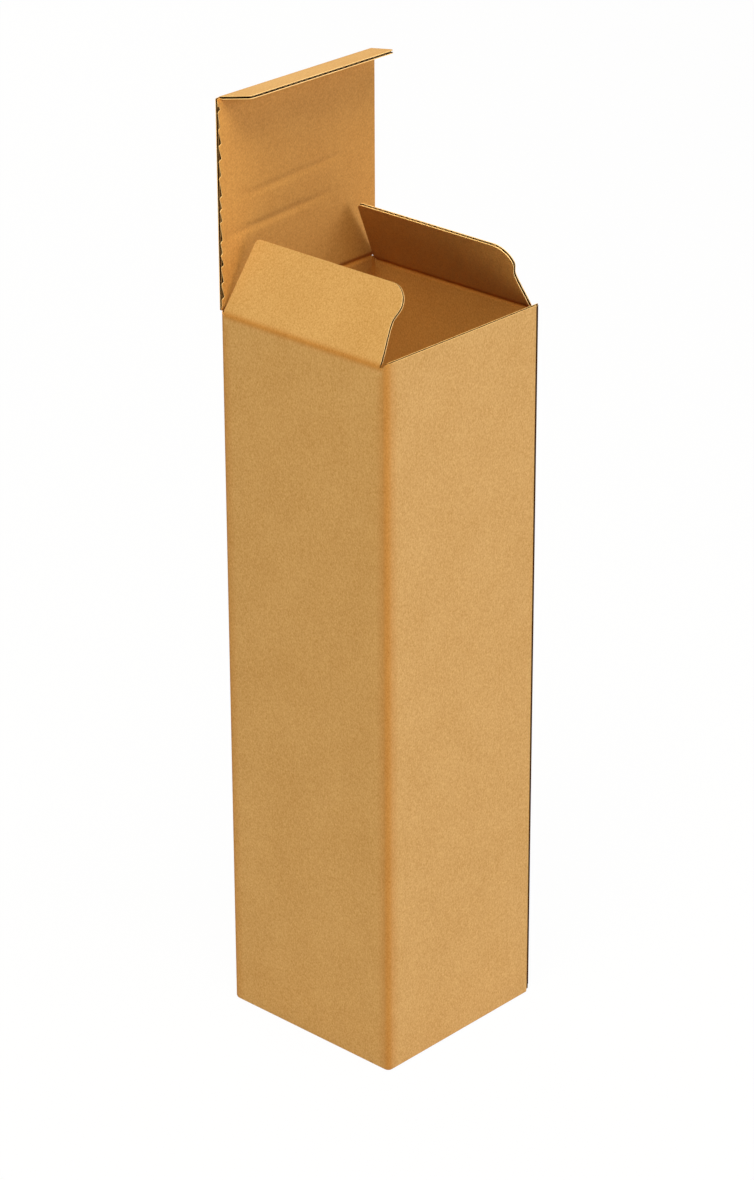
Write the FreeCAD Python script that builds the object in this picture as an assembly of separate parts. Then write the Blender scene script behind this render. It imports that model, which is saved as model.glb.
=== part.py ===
import FreeCAD, Part
import math
import os

# Bottle shipping box: one die-cut blank of E-flute board, folded into a tall square sleeve.
# Frame: origin at the middle of the base, Z up, the lid hinges on the back wall at +Y,
# the glued front wall faces -Y. All sizes are in millimetres.

# Outside of the folded sleeve
WIDTH = 102.0              # left to right, along X
DEPTH = 103.0              # front to back, along Y
HEIGHT = 360.0             # base to the raw top edge of the front wall
FOLD_RADIUS = 3.0          # outer round of the upright folds
BASE_FOLD_RADIUS = 1.8     # outer round of the folds round the base

# Board
BOARD = 1.6                # thickness of the corrugated board
LINER = 0.25               # flat paper on each face
MEDIUM = 0.24              # wavy paper between the liners, measured upright
FLUTE_PITCH = 3.4          # crest to crest
CRUSHED = 4.0              # band beside a crease where the flutes are pressed shut

# Creases
HINGE_GAP = 0.1            # each side of a hinge line
FOLD_SPARE = 0.5           # degrees by which a crease is cut wider than its fold

# Glue joint at the right front corner
GLUE_TAB = 24.0            # width of the tab under the front wall
GLUE_TAB_SLANT = 9.0       # how much lower the tab's free edge ends than its fold
GLUE_TAB_CLEARANCE = 1.0   # between the tab's upper end and the closed tuck flap

# Lid
LID_SIDE_INSET = 0.4       # from the sleeve's side to the lid's raw edge
LID_FRONT_CLEARANCE = 0.3  # between the closed lid's tuck fold and the front wall
LID_CLOSES = 90.0          # degrees forward from upright
LID_OPENS = 90.0           # degrees back from upright

# Tuck flap
TUCK_LENGTH = 18.0
TUCK_SIDE_CLEARANCE = 0.6  # from the inside of the side walls, at its crease
TUCK_TAPER = 2.5           # how much each side comes in over the flap's length
TUCK_CORNER = 6.0          # round of its two free corners
TUCK_REST = 79.0           # degrees folded from the lid's plane, as it stands
TUCK_RATIO = 0.2           # turn of the tuck flap for each degree of the lid

# Dust flaps
DUST_LENGTH = 37.0         # crease to free edge
DUST_CREASE_DROP = 2.4     # their crease lies this much under the front wall's top
DUST_REST = 28.0           # degrees leaning in from upright
DUST_RATIO = 1.3           # turn of each dust flap for each degree of the lid
DUST_BACK_ROOT = 2.0       # back side's inset at the crease
DUST_BACK_TOP = 10.3       # back side's inset at the free edge
DUST_BACK_CORNER = 2.5     # round of the back corner
DUST_TUCK_CLEARANCE = 1.4  # from the upright tuck flap behind the front wall
DUST_WAIST = 1.6           # how far the front side pulls in
DUST_WAIST_AT = 20.0       # height of that waist over the crease
DUST_SHOULDER_AT = 27.0    # where the front side is at its widest
DUST_SHOULDER_CLEARANCE = 0.4  # from the glue tab there
DUST_WAIST_ROUND = 4.0     # round of the waist and of the shoulder
DUST_FRONT_CORNER = 9.0    # round of the front corner

# Base: a snap lock of four flaps folded in from the walls
BASE_SEAM = 0.4            # gap between the front and the back base flap
BASE_SEAM_AT = -8.0        # where they meet, along Y
TONGUE_WIDTH = 42.0        # locking tongue of the front base flap
TONGUE_REACH = 20.0        # how far it lies over the back base flap
TONGUE_CORNER = 5.0
SIDE_LOCK_REACH = 30.0     # how far the side base flaps reach in
SIDE_LOCK_SLANT = 18.0     # how much their ends are cut back
SIDE_LOCK_CORNER = 6.0

HALF_W = WIDTH / 2
HALF_D = DEPTH / 2
INNER_RADIUS = FOLD_RADIUS - BOARD
BEYOND = 5.0               # how far a cutting shape runs past what it cuts
OVERRUN = 1.0              # the same for the bevels of a crease and for the strip's joint

LID_AXIS_Y = HALF_D - BOARD / 2
LID_AXIS_Z = HEIGHT - BOARD / 2
LID_LENGTH = DEPTH - 1.5 * BOARD - LID_FRONT_CLEARANCE
LID_WIDTH = WIDTH - 2 * LID_SIDE_INSET
DUST_AXIS_X = HALF_W - BOARD / 2
DUST_AXIS_Z = HEIGHT - DUST_CREASE_DROP
DUST_FRONT_ROOT = DEPTH - 2 * BOARD - DUST_TUCK_CLEARANCE
DUST_FRONT_SHOULDER = DEPTH - 2 * BOARD - DUST_SHOULDER_CLEARANCE
TUCK_AXIS_Z = LID_AXIS_Z + LID_LENGTH

LID_IN = LID_CLOSES / 2 + FOLD_SPARE
LID_OUT = LID_OPENS / 2 + FOLD_SPARE
TUCK_IN = (TUCK_REST + TUCK_RATIO * LID_CLOSES) / 2 + FOLD_SPARE
DUST_IN = (DUST_REST + DUST_RATIO * LID_CLOSES) / 2 + FOLD_SPARE
DUST_OUT = (DUST_RATIO * LID_OPENS - DUST_REST) / 2 + FOLD_SPARE

X_AXIS = FreeCAD.Vector(1, 0, 0)
Y_AXIS = FreeCAD.Vector(0, 1, 0)
Z_AXIS = FreeCAD.Vector(0, 0, 1)


def tangent(angle):
    return math.tan(math.radians(angle))


def rounded_wire(corners):
    """Closed wire in the XY plane through (x, y, radius) corners, each rounded by its radius."""
    points = [FreeCAD.Vector(x, y, 0) for x, y, radius in corners]
    pieces = []
    for i, (x, y, radius) in enumerate(corners):
        point = points[i]
        if radius == 0:
            pieces.append((point, None, point))
            continue
        back = (points[i - 1] - point).normalize()
        ahead = (points[(i + 1) % len(points)] - point).normalize()
        half_turn = back.getAngle(ahead) / 2
        reach = radius / math.tan(half_turn)
        centre = point + (back + ahead).normalize() * (radius / math.sin(half_turn))
        middle = centre + (point - centre).normalize() * radius
        pieces.append((point + back * reach, middle, point + ahead * reach))
    edges = []
    for i, (start, middle, end) in enumerate(pieces):
        if middle is not None:
            edges.append(Part.Arc(start, middle, end).toShape())
        following = pieces[(i + 1) % len(pieces)][0]
        if end.distanceToPoint(following) > 1e-6:
            edges.append(Part.LineSegment(end, following).toShape())
    return Part.Wire(edges)


def prism(corners, height):
    """Solid of a rounded outline in the XY plane, raised along Z."""
    return Part.Face(rounded_wire(corners)).extrude(Z_AXIS * height)


def block(x0, x1, y0, y1, z0, z1):
    return Part.makeBox(x1 - x0, y1 - y0, z1 - z0, FreeCAD.Vector(x0, y0, z0))


def flute_channels(x0, x1, first, low, high):
    """Empty channels centred from x0 to x1, counted from the one at first, along Y.

    The board lies in the XY plane from z = -BOARD to z = 0, with its outer face up.
    Channels under the outer liner and over the inner liner take turns, half a pitch apart.
    """
    top = -LINER
    bottom = LINER - BOARD
    half_base = FLUTE_PITCH / 2 * (1 - MEDIUM / 2 / (top - bottom))
    spacing = FLUTE_PITCH / 2
    channels = []
    for i in range(math.ceil((x0 - first) / spacing), math.floor((x1 - first) / spacing) + 1):
        centre = first + i * spacing
        base, tip = (top, bottom + MEDIUM / 2) if i % 2 == 0 else (bottom, top - MEDIUM / 2)
        corners = [
            FreeCAD.Vector(centre - half_base, low, base),
            FreeCAD.Vector(centre + half_base, low, base),
            FreeCAD.Vector(centre, low, tip),
        ]
        face = Part.Face(Part.makePolygon(corners + corners[:1]))
        channels.append(face.extrude(Y_AXIS * (high - low)))
    return channels


def crease_cut(length, inward, outward, depth):
    """Two wedges that bevel a board's end at y = 0 for its fold line, along X.

    The fold line lies at z = -depth. The bevel runs back over the inner half by the angle
    inward and over the outer half by the angle outward.
    """
    wedges = [block(-length / 2, length / 2, -BEYOND, HINGE_GAP, -BOARD - BEYOND, BEYOND)]
    sides = [(-(BOARD - depth) - OVERRUN, inward)]
    if outward:
        sides.append((depth + OVERRUN, outward))
    for reach, angle in sides:
        corners = [
            FreeCAD.Vector(-length / 2, 0, -depth),
            FreeCAD.Vector(-length / 2, 0, -depth + reach),
            FreeCAD.Vector(-length / 2, abs(reach) * tangent(angle), -depth + reach),
        ]
        face = Part.Face(Part.makePolygon(corners + corners[:1]))
        wedges.append(face.extrude(X_AXIS * length))
    return Part.Compound(wedges)


def flap(corners, flutes, root, depth):
    """A flap in the XY plane that rises along Y from its fold line on the X axis.

    Its outer face looks up. The fold line lies at z = 0 after the flap is set to it.
    """
    sheet = prism(corners, -BOARD).cut(Part.Compound(flutes)).cut(root)
    sheet.translate(Z_AXIS * depth)
    return sheet


def stand(shape, turn_about_z, lean, place):
    """Stands a flat flap up, turns its outer face to its wall's side and leans it inward."""
    shape.rotate(FreeCAD.Vector(), X_AXIS, 90 - lean)
    shape.rotate(FreeCAD.Vector(), Z_AXIS, turn_about_z)
    shape.translate(place)
    return shape


def sleeve_walls():
    """Four walls as one strip, from the front wall's raw right edge round to the glue tab."""
    a, b, t = HALF_W, HALF_D, BOARD
    joint = -b + t + FOLD_RADIUS + OVERRUN
    strip = [
        (a, -b, 0), (-a, -b, FOLD_RADIUS), (-a, b, FOLD_RADIUS), (a, b, FOLD_RADIUS),
        (a, joint, 0), (a - t, joint, 0),
        (a - t, b - t, INNER_RADIUS), (-a + t, b - t, INNER_RADIUS),
        (-a + t, -b + t, INNER_RADIUS), (a, -b + t, 0),
    ]
    tab = [
        (a, joint, 0), (a, -b + t, FOLD_RADIUS), (a - GLUE_TAB, -b + t, 0),
        (a - GLUE_TAB, -b + 2 * t, 0), (a - t, -b + 2 * t, INNER_RADIUS), (a - t, joint, 0),
    ]
    walls = prism(strip, HEIGHT)
    tab_end = HEIGHT - TUCK_LENGTH - GLUE_TAB_CLEARANCE
    tab_wall = prism(tab, HEIGHT).cut(tab_trim(tab_end))
    return walls.fuse(tab_wall).removeSplitter()


def tab_trim(end):
    """What the slanted upper end takes off the glue tab."""
    right = HALF_W - BOARD
    left = HALF_W - GLUE_TAB
    corners = [
        FreeCAD.Vector(right, -HALF_D, HEIGHT + BEYOND),
        FreeCAD.Vector(right, -HALF_D, end),
        FreeCAD.Vector(left - BEYOND, -HALF_D, end - GLUE_TAB_SLANT),
        FreeCAD.Vector(left - BEYOND, -HALF_D, HEIGHT + BEYOND),
    ]
    face = Part.Face(Part.makePolygon(corners + corners[:1]))
    return face.extrude(Y_AXIS * (3 * BOARD))


def wall_crease(length, inward, outward, turn_about_z, place):
    """Bevels for a wall's top at a fold line, the mirror of the flap's own bevels."""
    cut = crease_cut(length, inward, outward, BOARD / 2)
    cut.translate(Z_AXIS * (BOARD / 2))
    cut.rotate(FreeCAD.Vector(), Z_AXIS, 180)
    cut.rotate(FreeCAD.Vector(), X_AXIS, 90)
    cut.rotate(FreeCAD.Vector(), Z_AXIS, turn_about_z)
    cut.translate(place)
    return cut


def front_wall_flutes():
    """Channels of the front wall, open at its raw top edge and at its raw right edge."""
    left = -HALF_W + FOLD_RADIUS + FLUTE_PITCH / 2
    channels = flute_channels(left, HALF_W, HALF_W, CRUSHED, HEIGHT + BEYOND)
    flutes = Part.Compound(channels)
    flutes.rotate(FreeCAD.Vector(), X_AXIS, 90)
    flutes.translate(Y_AXIS * -HALF_D)
    return flutes


def base_rounding():
    """Rounds the four folds round the base, as shapes to take away."""
    r = BASE_FOLD_RADIUS
    cuts = []
    for half, length, turn in ((HALF_D, WIDTH, 0), (HALF_W, DEPTH, 90)):
        for flip in (0, 180):
            corner = block(-length, length, half - r, half + BEYOND, -BEYOND, r)
            rod = Part.makeCylinder(r, 2 * length, FreeCAD.Vector(-length, half - r, r), X_AXIS)
            cut = corner.cut(rod)
            cut.rotate(FreeCAD.Vector(), Z_AXIS, turn + flip)
            cuts.append(cut)
    return Part.Compound(cuts)


def base_flaps():
    """Snap-lock base: front and back flaps share the lowest layer, the others lie on them."""
    a = HALF_W - BOARD / 2
    b = HALF_D - BOARD / 2
    front = prism([(-a, -b, 0), (a, -b, 0), (a, BASE_SEAM_AT, 0), (-a, BASE_SEAM_AT, 0)], BOARD)
    back_edge = BASE_SEAM_AT + BASE_SEAM
    back = prism([(-a, back_edge, 0), (a, back_edge, 0), (a, b, 0), (-a, b, 0)], BOARD)
    half = TONGUE_WIDTH / 2
    reach = BASE_SEAM_AT + TONGUE_REACH
    tongue = prism([
        (-half, BASE_SEAM_AT - TONGUE_REACH, 0), (half, BASE_SEAM_AT - TONGUE_REACH, 0),
        (half, reach, TONGUE_CORNER), (-half, reach, TONGUE_CORNER),
    ], BOARD)
    tongue.translate(Z_AXIS * BOARD)
    side = prism([
        (-a, -b, 0), (-a + SIDE_LOCK_REACH - SIDE_LOCK_SLANT, -b, 0),
        (-a + SIDE_LOCK_REACH, BASE_SEAM_AT, SIDE_LOCK_CORNER),
        (-a + SIDE_LOCK_REACH - SIDE_LOCK_SLANT, b, 0), (-a, b, 0),
    ], BOARD)
    side.translate(Z_AXIS * BOARD)
    other = side.mirror(FreeCAD.Vector(), X_AXIS)
    return [front, back, tongue, side, other]


def box_body():
    """Sleeve with its glue joint, its open flutes, the creases of its flaps and its base."""
    body = sleeve_walls()
    side_length = DEPTH - 2 * BOARD
    creases = [
        wall_crease(WIDTH + 2 * OVERRUN, LID_IN, LID_OUT, 180,
                    FreeCAD.Vector(0, LID_AXIS_Y, LID_AXIS_Z)),
        wall_crease(side_length, DUST_IN, DUST_OUT, -90,
                    FreeCAD.Vector(-DUST_AXIS_X, 0, DUST_AXIS_Z)),
        wall_crease(side_length, DUST_IN, DUST_OUT, 90,
                    FreeCAD.Vector(DUST_AXIS_X, 0, DUST_AXIS_Z)),
    ]
    for crease in creases:
        body = body.cut(crease)
    body = body.fuse(base_flaps()).removeSplitter()
    return body.cut(base_rounding()).cut(front_wall_flutes())


def lid():
    half = LID_WIDTH / 2
    corners = [(-half, 0, 0), (half, 0, 0), (half, LID_LENGTH, 0), (-half, LID_LENGTH, 0)]
    edge = FLUTE_PITCH / 2
    flutes = flute_channels(-half, -half + edge, -half, CRUSHED, LID_LENGTH - CRUSHED)
    flutes += flute_channels(half - edge, half, half, CRUSHED, LID_LENGTH - CRUSHED)
    root = crease_cut(WIDTH + 2 * OVERRUN, LID_IN, LID_OUT, BOARD / 2)
    sheet = flap(corners, flutes, root, BOARD / 2)
    far = crease_cut(WIDTH + 2 * OVERRUN, TUCK_IN, 0, 0)
    far.rotate(FreeCAD.Vector(), Z_AXIS, 180)
    far.translate(FreeCAD.Vector(0, LID_LENGTH, 0))
    far = far.mirror(FreeCAD.Vector(), X_AXIS)
    far.translate(Z_AXIS * (BOARD / 2))
    sheet = sheet.cut(far)
    return stand(sheet, 180, 0, FreeCAD.Vector(0, LID_AXIS_Y, LID_AXIS_Z))


def tuck_flap():
    half = HALF_W - BOARD - TUCK_SIDE_CLEARANCE
    tip = half - TUCK_TAPER
    corners = [
        (-half, 0, 0), (half, 0, 0),
        (tip, TUCK_LENGTH, TUCK_CORNER), (-tip, TUCK_LENGTH, TUCK_CORNER),
    ]
    flutes = flute_channels(-half, half, -half, CRUSHED, TUCK_LENGTH + BEYOND)
    root = crease_cut(WIDTH + 2 * OVERRUN, TUCK_IN, 0, 0)
    sheet = flap(corners, flutes, root, 0)
    return stand(sheet, 180, TUCK_REST, FreeCAD.Vector(0, HALF_D, TUCK_AXIS_Z))


def dust_flap(side):
    """Dust flap of the left (side = -1) or the right (side = 1) wall.

    Its outline counts from the back wall's outer face, along Y, and up from its crease.
    """
    outline = [
        (DUST_BACK_ROOT, 0, 0), (DUST_FRONT_ROOT, 0, 0),
        (DUST_FRONT_ROOT - DUST_WAIST, DUST_WAIST_AT, DUST_WAIST_ROUND),
        (DUST_FRONT_SHOULDER, DUST_SHOULDER_AT, DUST_WAIST_ROUND),
        (DUST_FRONT_SHOULDER, DUST_LENGTH, DUST_FRONT_CORNER),
        (DUST_BACK_TOP, DUST_LENGTH, DUST_BACK_CORNER),
    ]
    corners = [(side * (HALF_D - inset), y, radius) for inset, y, radius in outline]
    flutes = flute_channels(-HALF_D, HALF_D, -HALF_D, CRUSHED, DUST_LENGTH + BEYOND)
    root = crease_cut(DEPTH + 2 * OVERRUN, DUST_IN, DUST_OUT, BOARD / 2)
    sheet = flap(corners, flutes, root, BOARD / 2)
    return stand(sheet, side * 90, DUST_REST, FreeCAD.Vector(side * DUST_AXIS_X, 0, DUST_AXIS_Z))


def main():
    nodes = {
        "box_body": box_body(),
        "lid": lid(),
        "tuck_flap": tuck_flap(),
        "left_dust_flap": dust_flap(-1),
        "right_dust_flap": dust_flap(1),
    }
    os.makedirs("parts", exist_ok=True)
    for name, shape in nodes.items():
        solids = shape.Solids
        piece = solids[0] if len(solids) == 1 else Part.Compound(solids)
        box = piece.BoundBox
        print(f"{name}: {len(solids)} solid, {len(piece.Faces)} faces, valid {piece.isValid()}, "
              f"volume {piece.Volume:.0f}, x {box.XMin:.1f}..{box.XMax:.1f}, "
              f"y {box.YMin:.1f}..{box.YMax:.1f}, z {box.ZMin:.1f}..{box.ZMax:.1f}")
        piece.exportStep(f"parts/{name}.step")


main()
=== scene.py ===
# %% [markdown]
# A tall shipping box for one bottle, folded from a single blank of thin corrugated board.
# The CAD model of the box is loaded first and is never moved. It gives every size here, and
# the paper is then built over it sheet by sheet, in metres.

# %% Load the frame
import math
import bmesh
import bpy
import numpy as np
from mathutils import Matrix, Vector


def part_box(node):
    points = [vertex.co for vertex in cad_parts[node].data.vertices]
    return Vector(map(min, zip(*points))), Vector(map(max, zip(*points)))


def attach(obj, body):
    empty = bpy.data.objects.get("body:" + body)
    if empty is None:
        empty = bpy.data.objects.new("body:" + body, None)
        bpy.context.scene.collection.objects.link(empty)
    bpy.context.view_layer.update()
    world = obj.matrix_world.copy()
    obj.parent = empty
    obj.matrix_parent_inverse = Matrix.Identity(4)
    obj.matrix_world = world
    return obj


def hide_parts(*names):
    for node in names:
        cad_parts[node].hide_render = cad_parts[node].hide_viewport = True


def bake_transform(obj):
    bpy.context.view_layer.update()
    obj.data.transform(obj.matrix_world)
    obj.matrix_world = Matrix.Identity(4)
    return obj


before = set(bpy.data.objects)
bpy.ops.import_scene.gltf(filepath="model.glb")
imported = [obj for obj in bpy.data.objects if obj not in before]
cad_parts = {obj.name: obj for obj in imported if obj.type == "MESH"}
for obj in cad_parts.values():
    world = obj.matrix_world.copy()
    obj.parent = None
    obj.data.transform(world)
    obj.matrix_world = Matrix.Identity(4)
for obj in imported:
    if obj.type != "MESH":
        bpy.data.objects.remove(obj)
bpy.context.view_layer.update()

# %% [markdown]
# Sizes come from the CAD pieces where those show them. The board is E-flute, a thin kind:
# two flat liners of kraft paper with a wavy medium glued between them.

# %% Sizes
MM = 0.001
HALF_W, HALF_D, HEIGHT = (float(value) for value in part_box("box_body")[1])
BOARD = 1.6 * MM
LINER = 0.36 * MM           # a little thicker than real, as a cut puffs the paper up
MEDIUM = 0.26 * MM
PITCH = 3.4 * MM
FOLD = 3.0 * MM             # outer round of the upright folds
BASE_FOLD = 1.8 * MM        # outer round of the folds round the base
ROOT = 4.0 * MM             # how far a flap's paper starts under its crease
LID_CREASE = HEIGHT - BOARD / 2
DUST_CREASE = HEIGHT - 2.4 * MM   # the side flaps fold in under the lid
SLEEVE_TOP = DUST_CREASE - ROOT
LID_SHORT = 0.65 * MM       # the lid stops this far short of the front wall when closed
TUCK_CREASE = LID_CREASE + 2 * HALF_D - 1.5 * BOARD - LID_SHORT
print(f"Box {2 * HALF_W:.3f} x {2 * HALF_D:.3f} x {HEIGHT:.3f} m,",
      f"tuck crease at {TUCK_CREASE:.4f}")

# %% [markdown]
# The camera stands as the photographer did: a long lens, left of the near fold and a little
# above the open top. The picture is taller than it is wide, so the lens is worked out on
# the picture's long side.

# %% Camera
FOCAL_PIXELS, LONG_SIDE, SENSOR = 3890, 1180, 36
DISTANCE = 1.815            # metres from the target
azimuth, elevation, roll = (math.radians(angle) for angle in (-46.99, 24.93, 0.22))
target = Vector((-0.00256, 0, 0.21957))
back = Vector((math.sin(azimuth) * math.cos(elevation),
               -math.cos(azimuth) * math.cos(elevation), math.sin(elevation)))
level = Vector((0, 0, 1)).cross(back).normalized()
upright = back.cross(level)
right = math.cos(roll) * level - math.sin(roll) * upright
up = math.sin(roll) * level + math.cos(roll) * upright
camera = bpy.data.objects.new("camera", bpy.data.cameras.new("camera"))
camera.data.sensor_width = SENSOR
camera.data.lens = FOCAL_PIXELS / LONG_SIDE * SENSOR
camera.matrix_world = (Matrix.Translation(target + DISTANCE * back)
                       @ Matrix((right, up, back)).transposed().to_4x4())
bpy.context.scene.collection.objects.link(camera)
bpy.context.scene.camera = camera
print(f"Lens {camera.data.lens:.1f} mm")

# %% [markdown]
# Colours are written as sRGB hex, the way a colour picker gives them, and turned to the
# linear values that the shaders work with. One helper adds a shader node, sets its
# properties and inputs, and links what comes from other nodes.

# %% Colour and node helpers
def linear(code):
    parts = [int(code[i:i + 2], 16) / 255 for i in (1, 3, 5)]
    return [c / 12.92 if c <= 0.04045 else ((c + 0.055) / 1.055) ** 2.4 for c in parts] + [1]


def node(tree, kind, inputs=None, **settings):
    """Adds a node. An input is a value, a colour's hex code or another node's output."""
    made = tree.nodes.new(kind)
    for name, value in settings.items():
        setattr(made, name, value)
    for name, value in (inputs or {}).items():
        socket = next(s for i, s in enumerate(made.inputs) if s.enabled and name in (i, s.name))
        if isinstance(value, bpy.types.NodeSocket):
            tree.links.new(value, socket)
        elif isinstance(value, str) and value.startswith("#"):
            socket.default_value = linear(value)
        else:
            socket.default_value = value
    return made


def material(name):
    made = bpy.data.materials.new(name)
    made.use_nodes = True
    made.node_tree.nodes.clear()
    return made, made.node_tree


# %% [markdown]
# Unbleached kraft liner is brown wood-fibre paper, wound off a machine. It is matt, its
# colour clouds softly over a few centimetres, short fibres lie in it as lighter and darker
# flecks, and the flutes behind it press through as very faint ribs.

# %% Kraft liner
FLECK = 0.9 * MM            # width of a fibre fleck, drawn coarser than the real 0.05 mm
CLOUD = 25 * MM             # width of a cloud in the colour
FOLD_SHADE_TINT = "#ecd3a4"          # painted shade that a fold or crease multiplies into the colour


def kraft(name, pale, middle, dark, rib, gloss=0.5):
    made, tree = material(name)
    place = node(tree, "ShaderNodeTexCoord").outputs["Object"]
    clouds = node(tree, "ShaderNodeTexNoise", {
        "Vector": place, "Scale": 1 / CLOUD, "Detail": 3, "Roughness": 0.55})
    flecks = node(tree, "ShaderNodeTexNoise", {
        "Vector": place, "Scale": 1 / FLECK, "Detail": 2, "Roughness": 0.6})
    stretched = node(tree, "ShaderNodeMapping", {"Vector": place, "Scale": (1, 1, 0.45)})
    fibres = node(tree, "ShaderNodeTexNoise", {
        "Vector": stretched.outputs[0], "Scale": 2 / FLECK, "Detail": 1})
    mixed = node(tree, "ShaderNodeMath", {
        0: clouds.outputs[0], 1: 0.35, 2: flecks.outputs[0]}, operation="MULTIPLY_ADD")
    tone = node(tree, "ShaderNodeMath", {
        0: mixed.outputs[0], 1: fibres.outputs[0]}, operation="ADD")
    share = node(tree, "ShaderNodeMapRange", {
        "Value": tone.outputs[0], "From Min": 0.72, "From Max": 1.63})
    ramp = node(tree, "ShaderNodeValToRGB", {"Fac": share.outputs[0]})
    steps = ramp.color_ramp.elements
    steps[0].color, steps[1].color = linear(dark), linear(pale)
    steps.new(0.5).color = linear(middle)
    across = node(tree, "ShaderNodeAttribute", attribute_name="across")
    ribs = node(tree, "ShaderNodeMath", {
        0: across.outputs["Fac"], 1: 2 * math.pi / PITCH}, operation="MULTIPLY")
    wave = node(tree, "ShaderNodeMath", {0: ribs.outputs[0]}, operation="COSINE")
    ribbed = node(tree, "ShaderNodeBump", {
        "Height": wave.outputs[0], "Strength": rib, "Distance": 0.05 * MM})
    grain = node(tree, "ShaderNodeBump", {
        "Height": flecks.outputs[0], "Strength": 0.25, "Distance": 0.1 * MM,
        "Normal": ribbed.outputs[0]})
    # Painted shade at folds and creases: the colour is multiplied there by a darker tint.
    press_and_shade = node(tree, "ShaderNodeAttribute", attribute_name="press_and_shade")
    fold_shade = node(tree, "ShaderNodeMix", {
        "Factor": press_and_shade.outputs["Fac"], "A": ramp.outputs[0], "B": FOLD_SHADE_TINT},
        data_type="RGBA", blend_type="MULTIPLY")
    paper = node(tree, "ShaderNodeBsdfPrincipled", {
        "Base Color": fold_shade.outputs[2], "Roughness": 0.85, "IOR": 1.45,
        "Specular IOR Level": gloss,
        "Normal": grain.outputs[0]})
    node(tree, "ShaderNodeOutputMaterial", {"Surface": paper.outputs[0]})
    return made


outer_liner = kraft("kraft liner outside", "#d8ae6f", "#c89c5d", "#b4853f", 0.3)
inner_liner = kraft("kraft liner inside", "#dba252", "#cb9146", "#b67c35", 0.5)
# The fluting finish is painted shade: the medium is brown kraft like the liners, but this finish
# is near black with little gloss, for the unlit inside of the flutes.
fluting_painted_shade = kraft("fluting medium", "#52300f", "#3b2006", "#2a1402", 0.0, gloss=0.05)
cut_edge = kraft("cut edge of the liner", "#ffe0a0", "#fbd08a", "#eabb72", 0.0)
cut_medium = kraft("cut edge of the medium", "#e0b478", "#d0a266", "#b98a4e", 0.0)
print("Kraft finishes:", *(finish.name for finish in (
    outer_liner, inner_liner, fluting_painted_shade, cut_edge, cut_medium)))

# %% [markdown]
# Every sheet of paper is a thin closed slab between two grids of points. Rows run from a
# crease to a free edge and columns run across, so one helper makes liners and medium alike.
# It also keeps how far across the board each point lies, for the ribs in the finish. A Solidify
# modifier could give the thickness too, but the liners need their own depths under the outer
# face and a finish of their own on each side and edge, and a grid gives both.

# %% Slab of paper
SHARP_ANGLE = 40            # degrees between faces from which an edge stays crisp


def slab(name, face, behind, across, finishes, keep=None, press_and_shade=0):
    """Closed mesh between the grids face and behind, without the cells where keep is false.

    The finishes are those of its face, of its other side and of its edges. The last
    argument is 1 at a fold line, where painted shade darkens the paper.
    """
    rows, columns, _ = face.shape
    count = rows * columns
    index = np.arange(count).reshape(rows, columns)
    cells = np.stack([index[:-1, :-1], index[:-1, 1:], index[1:, 1:], index[1:, :-1]], axis=-1)
    cells = cells.reshape(-1, 4) if keep is None else cells[keep]
    sides = np.concatenate([cells[:, [i, (i + 1) % 4]] for i in range(4)])
    taken = set(map(tuple, sides.tolist()))
    rim = [(b, a, a + count, b + count) for a, b in sides.tolist() if (b, a) not in taken]
    faces = cells.tolist() + (cells[:, ::-1] + count).tolist() + rim
    mesh = bpy.data.meshes.new(name)
    mesh.from_pydata(np.concatenate([face, behind]).reshape(-1, 3).tolist(), [], faces)
    for kind, grid in (("across", across), ("press_and_shade", press_and_shade + 0 * across)):
        values = mesh.attributes.new(kind, "FLOAT", "POINT")
        values.data.foreach_set("value", np.tile(grid.ravel(), 2).astype(np.float32))
    for finish in finishes:
        mesh.materials.append(finish)
    kinds = np.repeat([0, 1, 2], [len(cells), len(cells), len(rim)])
    mesh.polygons.foreach_set("material_index", kinds.astype(np.int32))
    shape = bmesh.new()
    shape.from_mesh(mesh)
    loose = [v for v in shape.verts if not v.link_faces]
    bmesh.ops.delete(shape, geom=loose, context="VERTS")
    bmesh.ops.recalc_face_normals(shape, faces=shape.faces)
    shape.to_mesh(mesh)
    shape.free()
    mesh.shade_smooth()
    mesh.set_sharp_from_angle(angle=math.radians(SHARP_ANGLE))
    piece = bpy.data.objects.new(name, mesh)
    bpy.context.scene.collection.objects.link(piece)
    return piece


# %% [markdown]
# A crease is a line along which the flutes are pressed flat, so that the board bends there.
# The paper doesn't turn a sharp corner: it rounds over about 3 mm. A place function gives
# the point for a distance across, a distance along the board and a depth under its outer
# face, and every flap's sheets are laid through it. The bend is written as a curve, not made
# with a modifier, so that all three sheets of the board turn together.

# %% Creased board
BEND_REACH = 1.6 * MM       # the bend runs this far each side of the crease
BEND_POINTS = 81            # points at which the bend's curve is added up
PRESSED = 0.6               # thickness left of the board at the crease
PRESS_REACH = 1.2 * MM      # how far from the crease the board is pressed thinner
CREASE_SHADE_REACH = 1.5 * MM      # how far from the crease the painted shade reaches


def eased(t):
    t = np.clip(t, 0, 1)
    return t * t * (3 - 2 * t)


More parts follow.
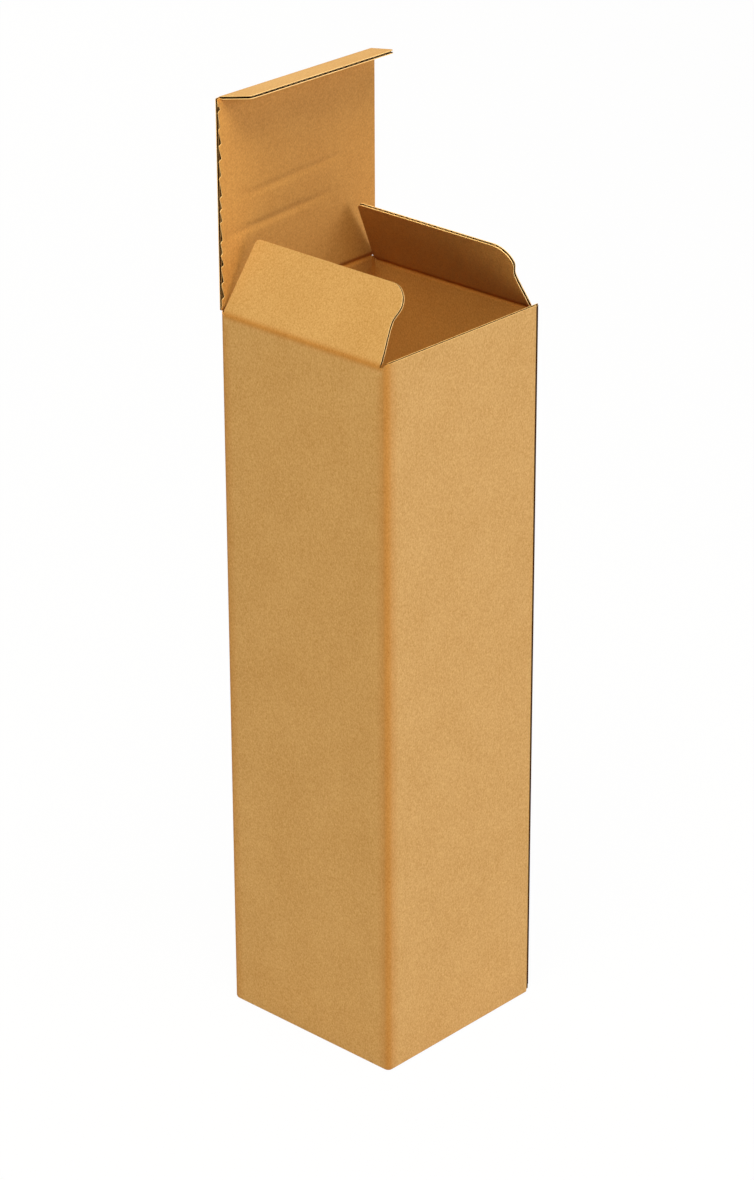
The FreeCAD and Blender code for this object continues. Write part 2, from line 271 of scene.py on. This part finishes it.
def creased(origin, across, up, inward, bend, pivot):
    """Place function for a flap that bends inward at its crease, by bend degrees."""
    along = np.linspace(-BEND_REACH, BEND_REACH, BEND_POINTS)
    turn = math.radians(bend) * eased((along + BEND_REACH) / (2 * BEND_REACH))
    step = along[1] - along[0]
    rise = np.concatenate([[0], np.cumsum((np.cos(turn[1:]) + np.cos(turn[:-1])) / 2 * step)])
    reach = np.concatenate([[0], np.cumsum((np.sin(turn[1:]) + np.sin(turn[:-1])) / 2 * step)])
    rise -= BEND_REACH
    origin, across, up, inward = (np.array(v, float) for v in (origin, across, up, inward))

    def place(u, v, depth):
        angle = np.interp(v, along, turn)
        beyond = np.maximum(v - BEND_REACH, 0)
        before = np.minimum(v + BEND_REACH, 0)
        z = np.interp(v, along, rise) + before + beyond * np.cos(angle)
        y = np.interp(v, along, reach) + beyond * np.sin(angle)
        press_and_shade = 1 - (1 - PRESSED) * np.exp(-(v / PRESS_REACH) ** 2)
        deep = depth * press_and_shade - pivot
        z = z - deep * np.sin(angle)
        y = y + pivot + deep * np.cos(angle)
        return (origin + u[..., None] * across + z[..., None] * up + y[..., None] * inward)

    return place


# Each liner's glued side and both faces of the medium take the fluting finish, painted shade for
# the dark inside of the open flutes.
OUTSIDE = (outer_liner, fluting_painted_shade, cut_edge)
INSIDE = (fluting_painted_shade, inner_liner, cut_edge)
WAVE = (fluting_painted_shade, fluting_painted_shade, cut_medium)
SIDE_RECESS = 1.0 * MM      # the medium ends this far inside the liners, along the flutes
END_RECESS = 0.25 * MM      # and this far inside them, across the flutes
TOP_RECESS = 0.6 * MM       # and this far at the front wall, where the flutes stand open
LINER_COLUMNS = 61
WAVE_POINTS = 8             # columns of the medium for each flute


def board(name, place, v, low, high, ragged=0, recess=END_RECESS):
    """Outer liner, inner liner and medium of a flap, with rows v from low to high.

    The inner liner's low side comes in by ragged, which is a length for each row, and the
    medium ends inside the liners by recess.
    """
    def grid(columns, trim=0):
        share = np.linspace(0, 1, columns)
        start = low + trim
        u = start[:, None] + (high - start)[:, None] * share
        return u, np.broadcast_to(v[:, None], u.shape)

    u, rows = grid(LINER_COLUMNS)
    # Painted shade along the crease.
    fold_shade = np.exp(-(rows / CREASE_SHADE_REACH) ** 2)
    outer = slab(f"{name}_outer_liner", place(u, rows, 0 * u), place(u, rows, 0 * u + LINER),
                 u, OUTSIDE, press_and_shade=fold_shade)
    u, rows = grid(LINER_COLUMNS, ragged)
    inner = slab(f"{name}_inner_liner", place(u, rows, 0 * u + BOARD - LINER),
                 place(u, rows, 0 * u + BOARD), u, INSIDE, press_and_shade=fold_shade)
    low, high, v = low + SIDE_RECESS, high - SIDE_RECESS, np.minimum(v, v[-1] - recess)
    u, rows = grid(int((high - low).max() / PITCH * WAVE_POINTS) + 1)
    middle = BOARD / 2 + (BOARD / 2 - LINER - MEDIUM / 2) * np.cos(2 * math.pi * u / PITCH)
    medium = slab(f"{name}_medium", place(u, rows, middle - MEDIUM / 2),
                  place(u, rows, middle + MEDIUM / 2), u, WAVE)
    return [outer, inner, medium]


def rows_between(low, high, step, dense=()):
    """Rows from low to high, with closer ones in each dense stretch."""
    rows = [np.linspace(low, high, int((high - low) / step) + 2)]
    rows += [np.linspace(a, b, count) for a, b, count in dense]
    return np.unique(np.round(np.concatenate(rows), 7))


def corner(v, end, radius):
    """How far a side comes in where a rounded corner takes it to the free edge."""
    over = np.clip(v - (end - radius), 0, radius)
    return radius - np.sqrt(radius ** 2 - over ** 2)


# %% [markdown]
# The dust flaps fold in first and keep dirt from the bottle. Each has a straight slanted side
# next to the lid, and a rounded shoulder at the front that leaves room for the tuck. The
# outline is a pair of lengths for each row, so its slant, waist and corners just add up, and
# the rows lie closer where the outline turns.

# %% Dust flaps
DUST_LENGTH = 37 * MM
DUST_REST = 28
wall_half = HALF_D - FOLD
BLEND_REACH = 2.5 * MM      # the paper bends over this length each side of a crease
WALL_TOP = -0.2 * MM        # rows under this belong to the wall and have its width
DUST_INSETS = [2.0 * MM, 7.5 * MM]      # back side, at the crease and at the free edge
DUST_BACK_CORNER, DUST_FRONT_CORNER = 2.5 * MM, 9 * MM
WAIST_AT, WAIST_REACH = 20 * MM, 8 * MM
bend_rows = (-BLEND_REACH, BLEND_REACH, 21)
dust_tip = DUST_LENGTH - 1 * MM
dust_rows = rows_between(-ROOT, DUST_LENGTH, 2 * MM, [
    bend_rows, (DUST_LENGTH - DUST_FRONT_CORNER, dust_tip, 9), (dust_tip, DUST_LENGTH, 8)])
dust_back = HALF_D - np.interp(dust_rows, [0, DUST_LENGTH], DUST_INSETS)
dust_back = dust_back - corner(dust_rows, DUST_LENGTH, DUST_BACK_CORNER)
waist = (0.6 * MM - 1.6 * MM * eased(dust_rows / WAIST_AT)
         + 2.4 * MM * eased((dust_rows - WAIST_AT) / WAIST_REACH))
dust_front = (-HALF_D + 2 * BOARD + 2.0 * MM - waist
              + corner(dust_rows, DUST_LENGTH, DUST_FRONT_CORNER))
in_wall = dust_rows < WALL_TOP
dust_back = np.where(in_wall, wall_half, dust_back)
dust_front = np.where(in_wall, -wall_half, dust_front)
for side, name in ((-1, "left_dust_flap"), (1, "right_dust_flap")):
    origin = (side * HALF_W, 0, DUST_CREASE)
    place = creased(origin, (0, 1, 0), (0, 0, 1), (-side, 0, 0), DUST_REST, BOARD / 2)
    pieces = board(name, place, dust_rows, dust_front, dust_back)
    for piece in pieces:
        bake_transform(piece)
    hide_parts(name)
    print(name, [len(piece.data.vertices) for piece in pieces])

# %% [markdown]
# The lid is the back wall carried on over its crease. Its sides are cut along the flutes,
# so the inner liner's edge hangs over an open flute there, and on the left it is torn into
# small teeth. The teeth come from seeded random lengths, so that they look uneven and are the
# same in every run.

# %% Lid
LID_HALF = float(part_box("lid")[1][0])
lid_length = TUCK_CREASE - LID_CREASE
lid_end = lid_length - ROOT
lid_rows = rows_between(SLEEVE_TOP - LID_CREASE, lid_end, 0.6 * MM, [bend_rows])
lid_half = np.where(lid_rows < WALL_TOP, HALF_W - FOLD, LID_HALF)
SOFT_BENDS = ((37 * MM, -14 * MM), (53 * MM, -4 * MM))      # height and middle of each
SOFT_DEPTH, SOFT_REACH, SOFT_WIDTH = 0.5 * MM, 1.9 * MM, 32 * MM
SOFT_SLANT = 0.06
flat_lid = creased((0, HALF_D, LID_CREASE), (1, 0, 0), (0, 0, 1), (0, -1, 0), 0, BOARD / 2)


def lid_place(u, v, depth):
    """The lid's board, with the two faint bends it took when it was folded flat."""
    soft = sum(SOFT_DEPTH * np.exp(-((v - at - SOFT_SLANT * u) / SOFT_REACH) ** 2)
               * np.exp(-((u - middle) / SOFT_WIDTH) ** 4) for at, middle in SOFT_BENDS)
    return flat_lid(u, v, depth - soft * (depth / BOARD))


TEETH = 18
TOOTH_STEP = (5.5 * MM, 9.5 * MM)       # least and most from one tooth to the next
TOOTH_DEPTH = (1.0 * MM, 1.9 * MM)
TOOTH_JUMP = 0.8 * MM                   # over this length a tooth springs back
chance = np.random.default_rng(11)
nicks = np.cumsum(chance.uniform(*TOOTH_STEP, TEETH))
bites = chance.uniform(*TOOTH_DEPTH, TEETH)
teeth = np.stack([nicks - TOOTH_JUMP, nicks], axis=1).ravel()
ragged = np.interp(lid_rows, teeth, np.stack([0 * bites, bites], axis=1).ravel())
ragged = ragged * eased((lid_rows - 1 * MM) / (2 * MM))
lid_pieces = board("lid", lid_place, lid_rows, -lid_half, lid_half, ragged)
for piece in lid_pieces:
    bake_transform(piece)
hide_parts("lid")
print("lid", [len(piece.data.vertices) for piece in lid_pieces])

# %% [markdown]
# The tuck flap goes behind the front wall when the box is closed. Its free edge is cut
# across the flutes and shows their open ends as one dark line between two pale liners. The
# line is partly real depth, as the medium ends 1 mm inside the liners and no light reaches
# in there, and partly painted shade, as the sheets inside are coloured near black.

# %% Tuck flap
TUCK_LENGTH = 18 * MM
TUCK_REST = 79
TUCK_CLEARANCE, TUCK_TAPER, TUCK_CORNER = 0.6 * MM, 2.5 * MM, 2 * MM
TUCK_RECESS = 1 * MM
tuck_tip = TUCK_LENGTH - 1 * MM
tuck_rows = rows_between(-ROOT, TUCK_LENGTH, 1.5 * MM, [
    bend_rows, (TUCK_LENGTH - 6 * MM, tuck_tip, 7), (tuck_tip, TUCK_LENGTH, 8)])
tuck_half = (HALF_W - BOARD - TUCK_CLEARANCE
             - TUCK_TAPER * np.clip(tuck_rows / TUCK_LENGTH, 0, 1))
tuck_half = np.where(tuck_rows < WALL_TOP, LID_HALF,
                     tuck_half - corner(tuck_rows, TUCK_LENGTH, TUCK_CORNER))
tuck_place = creased(
    (0, HALF_D, TUCK_CREASE), (1, 0, 0), (0, 0, 1), (0, -1, 0), TUCK_REST, 0)
tuck_pieces = board("tuck_flap", tuck_place, tuck_rows, -tuck_half, tuck_half, recess=TUCK_RECESS)
for piece in tuck_pieces:
    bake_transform(piece)
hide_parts("tuck_flap")
print("tuck flap", [len(piece.data.vertices) for piece in tuck_pieces])

# %% [markdown]
# The sleeve is one strip of board that runs from the front wall's raw right edge round
# three folds to the glue tab. It is drawn as seen from above: a line of places on its outer
# face, each with the direction in which the board's thickness lies. Drawing the strip as one
# line keeps its ribs even round the folds, as they are in the real blank.

# %% Sleeve outline
def run(start, end, inward, step=4 * MM):
    start, end = np.array(start), np.array(end)
    share = np.linspace(0, 1, max(2, int(np.linalg.norm(end - start) / step) + 1))
    return [(*(start + (end - start) * t), *inward) for t in share]


def quarter(centre, begin, radius=FOLD, steps=8):
    """Quarter round, clockwise as seen from above, from the angle begin in degrees."""
    angles = [math.radians(begin - 90 * i / steps) for i in range(steps + 1)]
    return [(centre[0] + radius * math.cos(a), centre[1] + radius * math.sin(a),
             -math.cos(a), -math.sin(a)) for a in angles]


a, b = HALF_W - FOLD, HALF_D - FOLD
stretches = [
    (run((HALF_W, -HALF_D), (-a, -HALF_D), (0, 1)), HEIGHT, HEIGHT),
    (quarter((-a, -b), -90), HEIGHT, DUST_CREASE),
    (run((-HALF_W, -b), (-HALF_W, b), (1, 0)), None, None),
    (quarter((-a, b), 180), DUST_CREASE, LID_CREASE),
    (run((-a, HALF_D), (a, HALF_D), (0, -1)), None, None),
    (quarter((a, b), 90), LID_CREASE, DUST_CREASE),
    (run((HALF_W, b), (HALF_W, -b + BOARD), (-1, 0)), None, None),
]
line, tops, raised = [], [], []
for points, first_top, last_top in stretches:
    shares = np.linspace(0, 1, len(points)) ** (3 if first_top == HEIGHT else 1)
    own = [SLEEVE_TOP if first_top is None else first_top + (last_top - first_top) * t
           for t in shares]
    if line:
        tops[-1] = max(tops[-1], own[0])
        points, own = points[1:], own[1:]
    raised += [first_top is not None] * (len(points) - (0 if line else 1))
    line += points
    tops += own
line, tops, raised = np.array(line), np.array(tops), np.array(raised)
travel_steps = np.linalg.norm(np.diff(line[:, :2], axis=0), axis=1)
travel = np.concatenate([[0], np.cumsum(travel_steps)])
print(f"Strip {travel[-1] / MM:.0f} mm long in {len(line)} columns")

# %% [markdown]
# At the base every wall rounds inward over a quarter circle, and at the top each stretch
# ends at its own height: raw at the front, under the flaps' paper elsewhere. The upright folds
# are painted a little darker, as painted shade along each rounded fold.

# %% Sleeve liners
quarter_turn = np.linspace(0, math.pi / 2, 7)
rounding = BASE_FOLD * (1 - np.sin(quarter_turn))
heights = np.concatenate([
    BASE_FOLD * (1 - np.cos(quarter_turn)), np.linspace(12 * MM, SLEEVE_TOP, 30),
    SLEEVE_TOP + np.linspace(0, 1, 5)[1:]])
insets = np.concatenate([rounding, np.zeros(len(heights) - len(rounding))])
low_rows = len(heights) - 4
levels = np.repeat(heights[:, None], len(line), axis=1)
levels[low_rows:] = SLEEVE_TOP + (heights[low_rows:, None] - SLEEVE_TOP) * (tops - SLEEVE_TOP)
covered = (np.arange(len(heights) - 1)[:, None] < low_rows - 1) | raised
ribs = np.broadcast_to(travel, (len(heights), len(line)))
JOINT_STEP = 2.4 * MM       # the outer liner ends this far short at the glue joint
FOLD_SHADE_REACH = 2.8 * MM       # how far from a fold's middle the painted shade reaches
round_part = np.minimum(np.abs(line[:, 2]), np.abs(line[:, 3])) * math.sqrt(2)
fold_middles = travel[round_part > 0.99]
from_fold = np.abs(travel[:, None] - fold_middles[None, :]).min(axis=1)
# Painted shade along each upright fold.
fold_shade = np.exp(-(from_fold / FOLD_SHADE_REACH) ** 2)
fold_shade = np.broadcast_to(fold_shade, ribs.shape)


def sleeve(depth):
    """Grid of points of the sleeve at a depth under its outer face.

    At the glue joint the outer liner ends a little short of the board under it.
    """
    inset = insets[:, None] + depth
    short = JOINT_STEP * (depth < BOARD / 2) * (np.arange(len(line)) == 0)
    x = line[None, :, 0] + inset * line[None, :, 2] - short
    y = line[None, :, 1] + inset * line[None, :, 3]
    z = np.maximum(levels, depth)
    return np.stack([x, y, z], axis=-1)


sleeve_outer = slab(
    "sleeve_outer_liner", sleeve(0), sleeve(LINER), ribs, OUTSIDE, covered, fold_shade)
sleeve_inner = slab(
    "sleeve_inner_liner", sleeve(BOARD - LINER), sleeve(BOARD), ribs, INSIDE, covered, fold_shade)
for piece in (sleeve_outer, sleeve_inner):
    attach(piece, "box")
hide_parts("box_body")
print("sleeve", len(sleeve_outer.data.vertices))

# %% [markdown]
# The medium only shows at the front wall's raw top and right edges, so it is drawn there:
# a band along the top, and three flutes down the right side. Elsewhere the liners hide it, and
# leaving it out there saves many faces that no view would show.

# %% Front wall's medium
BAND = 12 * MM              # height of the band along the top
BAND_FOOT = 4 * MM
front_place = creased((0, -HALF_D, 0), (1, 0, 0), (0, 0, 1), (0, 1, 0), 0, 0)


def front_medium(name, x_low, x_high, z_low, z_high):
    u, v = np.meshgrid(np.linspace(x_low, x_high, int((x_high - x_low) / PITCH * 12) + 1),
                       np.linspace(z_low, z_high, 5))
    wave = np.cos(2 * math.pi * (u - HALF_W) / PITCH)
    middle = BOARD / 2 + (BOARD / 2 - LINER - MEDIUM / 2) * wave
    piece = slab(name, front_place(u, v, middle - MEDIUM / 2),
                 front_place(u, v, middle + MEDIUM / 2), u, WAVE)
    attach(piece, "box")
    return piece


# Both strips take the fluting finish, painted shade for the open flutes along the raw edges.
top_medium = front_medium(
    "front_top_medium", -a, HALF_W, HEIGHT - BAND, HEIGHT - TOP_RECESS)
side_medium = front_medium(
    "front_side_medium", HALF_W - 3 * PITCH, HALF_W, BAND_FOOT, HEIGHT - BAND)
print("medium", len(top_medium.data.vertices), len(side_medium.data.vertices))

# %% [markdown]
# The glue tab is the strip's last stretch. It folds behind the front wall and ends lower,
# with a slanted top, so that the tuck flap has room above it.

# %% Glue tab
TAB_END = HALF_W - 24 * MM
TAB_TOPS = [332 * MM, 341 * MM]         # at the tab's free end and at its fold
TAB_FOOT = 2 * MM
TAB_ROWS = 12
FOLD_START = HALF_W - 1.3 * MM          # right of this the fold rises as high as the wall
tab_y = -HALF_D + BOARD
tab_line = np.array(quarter((a, -b + BOARD), 0) + run((a, tab_y), (TAB_END, tab_y), (0, 1))[1:])
tab_steps = np.linalg.norm(np.diff(tab_line[:, :2], axis=0), axis=1)
tab_travel = np.concatenate([[0], np.cumsum(tab_steps)])
tab_tops = np.interp(tab_line[:, 0], [TAB_END, a], TAB_TOPS)
tab_tops = np.where(tab_line[:, 0] > FOLD_START, DUST_CREASE, tab_tops)
tab_share = np.linspace(0, 1, TAB_ROWS)[:, None]


def tab(depth):
    x = tab_line[:, 0] + depth * tab_line[:, 2]
    y = tab_line[:, 1] + depth * tab_line[:, 3]
    z = TAB_FOOT + (tab_tops - TAB_FOOT) * tab_share
    return np.stack([x + 0 * z, y + 0 * z, z], axis=-1)


tab_ribs = np.broadcast_to(tab_travel, (TAB_ROWS, len(tab_line)))
for name, high, low, finishes in (("glue_tab_outer_liner", 0, LINER, OUTSIDE),
                                  ("glue_tab_inner_liner", BOARD - LINER, BOARD, INSIDE)):
    piece = slab(name, tab(high), tab(low), tab_ribs, finishes)
    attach(piece, "box")
print("glue tab ends at", tab_tops.min(), tab_tops.max())

# %% [markdown]
# Under the box, the front and the back base flap meet in one seam. The side flaps and the
# front flap's tongue lie on them inside, as in a snap lock. No edge of these is ever seen
# closely, so each is a flat plate: an outline that is extruded upwards.

# %% Base
def plate(name, corners, z_low, z_high, finish):
    mesh = bpy.data.meshes.new(name)
    shape = bmesh.new()
    face = shape.faces.new([shape.verts.new((x, y, z_low)) for x, y in corners])
    lifted = bmesh.ops.extrude_face_region(shape, geom=[face])
    moved = [item for item in lifted["geom"] if isinstance(item, bmesh.types.BMVert)]
    bmesh.ops.translate(shape, verts=moved, vec=(0, 0, z_high - z_low))
    bmesh.ops.recalc_face_normals(shape, faces=shape.faces)
    shape.to_mesh(mesh)
    shape.free()
    mesh.materials.append(finish)
    piece = bpy.data.objects.new(name, mesh)
    bpy.context.scene.collection.objects.link(piece)
    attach(piece, "box")


in_x, in_y = HALF_W - BASE_FOLD, HALF_D - BASE_FOLD
seam, SEAM_GAP = -8 * MM, 0.4 * MM
TONGUE_HALF, TONGUE_CUT = 21 * MM, 5 * MM
TONGUE_FROM, TONGUE_TO = -28 * MM, 12 * MM
LOCK_SHORT, LOCK_LONG = 12 * MM, 29 * MM        # reach of a side flap, at its ends and middle
plate("front_base_flap", [(-in_x, -in_y), (in_x, -in_y), (in_x, seam), (-in_x, seam)],
      0, BOARD, outer_liner)
plate("back_base_flap", [(-in_x, seam + SEAM_GAP), (in_x, seam + SEAM_GAP),
                         (in_x, in_y), (-in_x, in_y)], 0, BOARD, outer_liner)
plate("base_tongue", [
    (-TONGUE_HALF, TONGUE_FROM), (TONGUE_HALF, TONGUE_FROM),
    (TONGUE_HALF, TONGUE_TO - TONGUE_CUT), (TONGUE_HALF - TONGUE_CUT, TONGUE_TO),
    (-TONGUE_HALF + TONGUE_CUT, TONGUE_TO), (-TONGUE_HALF, TONGUE_TO - TONGUE_CUT)],
    BOARD, 2 * BOARD, inner_liner)
for side in (-1, 1):
    plate(f"{'left' if side < 0 else 'right'}_base_flap", [
        (side * in_x, -in_y), (side * (in_x - LOCK_SHORT), -in_y),
        (side * (in_x - LOCK_LONG), seam), (side * (in_x - LOCK_SHORT), in_y),
        (side * in_x, in_y)], BOARD, 2 * BOARD, inner_liner)
print("base of five plates")

# %% [markdown]
# A product picture on white: a soft lamp in front, a wide one overhead to the left, a weak one
# behind, and an even pale sky. Large lamps give the soft shadows of a studio. The floor and the
# sky show white to the camera and in reflections, by Light Path, so that the white doesn't come
# from more light on the box. The floor keeps a little of its own shading for the shadow.

# %% Light, floor and sky
AIM = Vector((0, 0, 0.25))  # the lamps point here, metres
FLOOR_REACH = 6             # metres each way
FLOOR_WHITE = 0.97          # share of plain white in what the floor shows


def soft_lamp(name, position, size, watts, colour):
    lamp = bpy.data.objects.new(name, bpy.data.lights.new(name, "AREA"))
    lamp.data.shape = "SQUARE"
    lamp.data.size = size
    lamp.data.energy = watts
    lamp.data.color = linear(colour)[:3]
    lamp.location = position
    lamp.rotation_euler = (AIM - lamp.location).to_track_quat("-Z", "Y").to_euler()
    bpy.context.scene.collection.objects.link(lamp)


def shows_white(tree):
    """Output that is 1 for rays from the camera, from a reflection or through glass."""
    ray = node(tree, "ShaderNodeLightPath").outputs
    seen = node(tree, "ShaderNodeMath", {
        0: ray["Is Camera Ray"], 1: ray["Is Glossy Ray"]}, operation="MAXIMUM")
    return node(tree, "ShaderNodeMath", {
        0: seen.outputs[0], 1: ray["Is Transmission Ray"]}, operation="MAXIMUM").outputs[0]


soft_lamp("key lamp", Vector((0.5, -1.9, 1.0)), 1.0, 18, "#e4eaff")
soft_lamp("top lamp", Vector((-0.7, -0.5, 2.1)), 1.2, 44, "#fff6da")
soft_lamp("back lamp", Vector((0.9, 1.7, 0.9)), 1.0, 9, "#fff8ee")

world = bpy.data.worlds.new("pale studio")
bpy.context.scene.world = world
world.use_nodes = True
tree = world.node_tree
tree.nodes.clear()
ambient = node(tree, "ShaderNodeBackground", {"Color": "#fff2e0", "Strength": 0.22})
white = node(tree, "ShaderNodeBackground", {"Color": "#ffffff", "Strength": 1})
sky = node(tree, "ShaderNodeMixShader", {
    "Fac": shows_white(tree), 1: ambient.outputs[0], 2: white.outputs[0]})
node(tree, "ShaderNodeOutputWorld", {"Surface": sky.outputs[0]})

floor_finish, tree = material("white studio floor")
matt = node(tree, "ShaderNodeBsdfPrincipled", {"Base Color": "#f4f4f4", "Roughness": 0.9})
glow = node(tree, "ShaderNodeEmission", {"Color": "#ffffff", "Strength": 1})
mostly = node(tree, "ShaderNodeMath", {
    0: shows_white(tree), 1: FLOOR_WHITE}, operation="MULTIPLY")
mixed = node(tree, "ShaderNodeMixShader", {
    "Fac": mostly.outputs[0], 1: matt.outputs[0], 2: glow.outputs[0]})
node(tree, "ShaderNodeOutputMaterial", {"Surface": mixed.outputs[0]})
floor_mesh = bpy.data.meshes.new("floor")
floor_corners = [(x * FLOOR_REACH, y * FLOOR_REACH, 0)
                 for x, y in ((-1, -1), (1, -1), (1, 1), (-1, 1))]
floor_mesh.from_pydata(floor_corners, [], [(0, 1, 2, 3)])
floor_mesh.materials.append(floor_finish)
floor = bpy.data.objects.new("floor", floor_mesh)
bpy.context.scene.collection.objects.link(floor)
bpy.context.scene.view_settings.view_transform = "Standard"
print("Lamps, sky and floor are in")
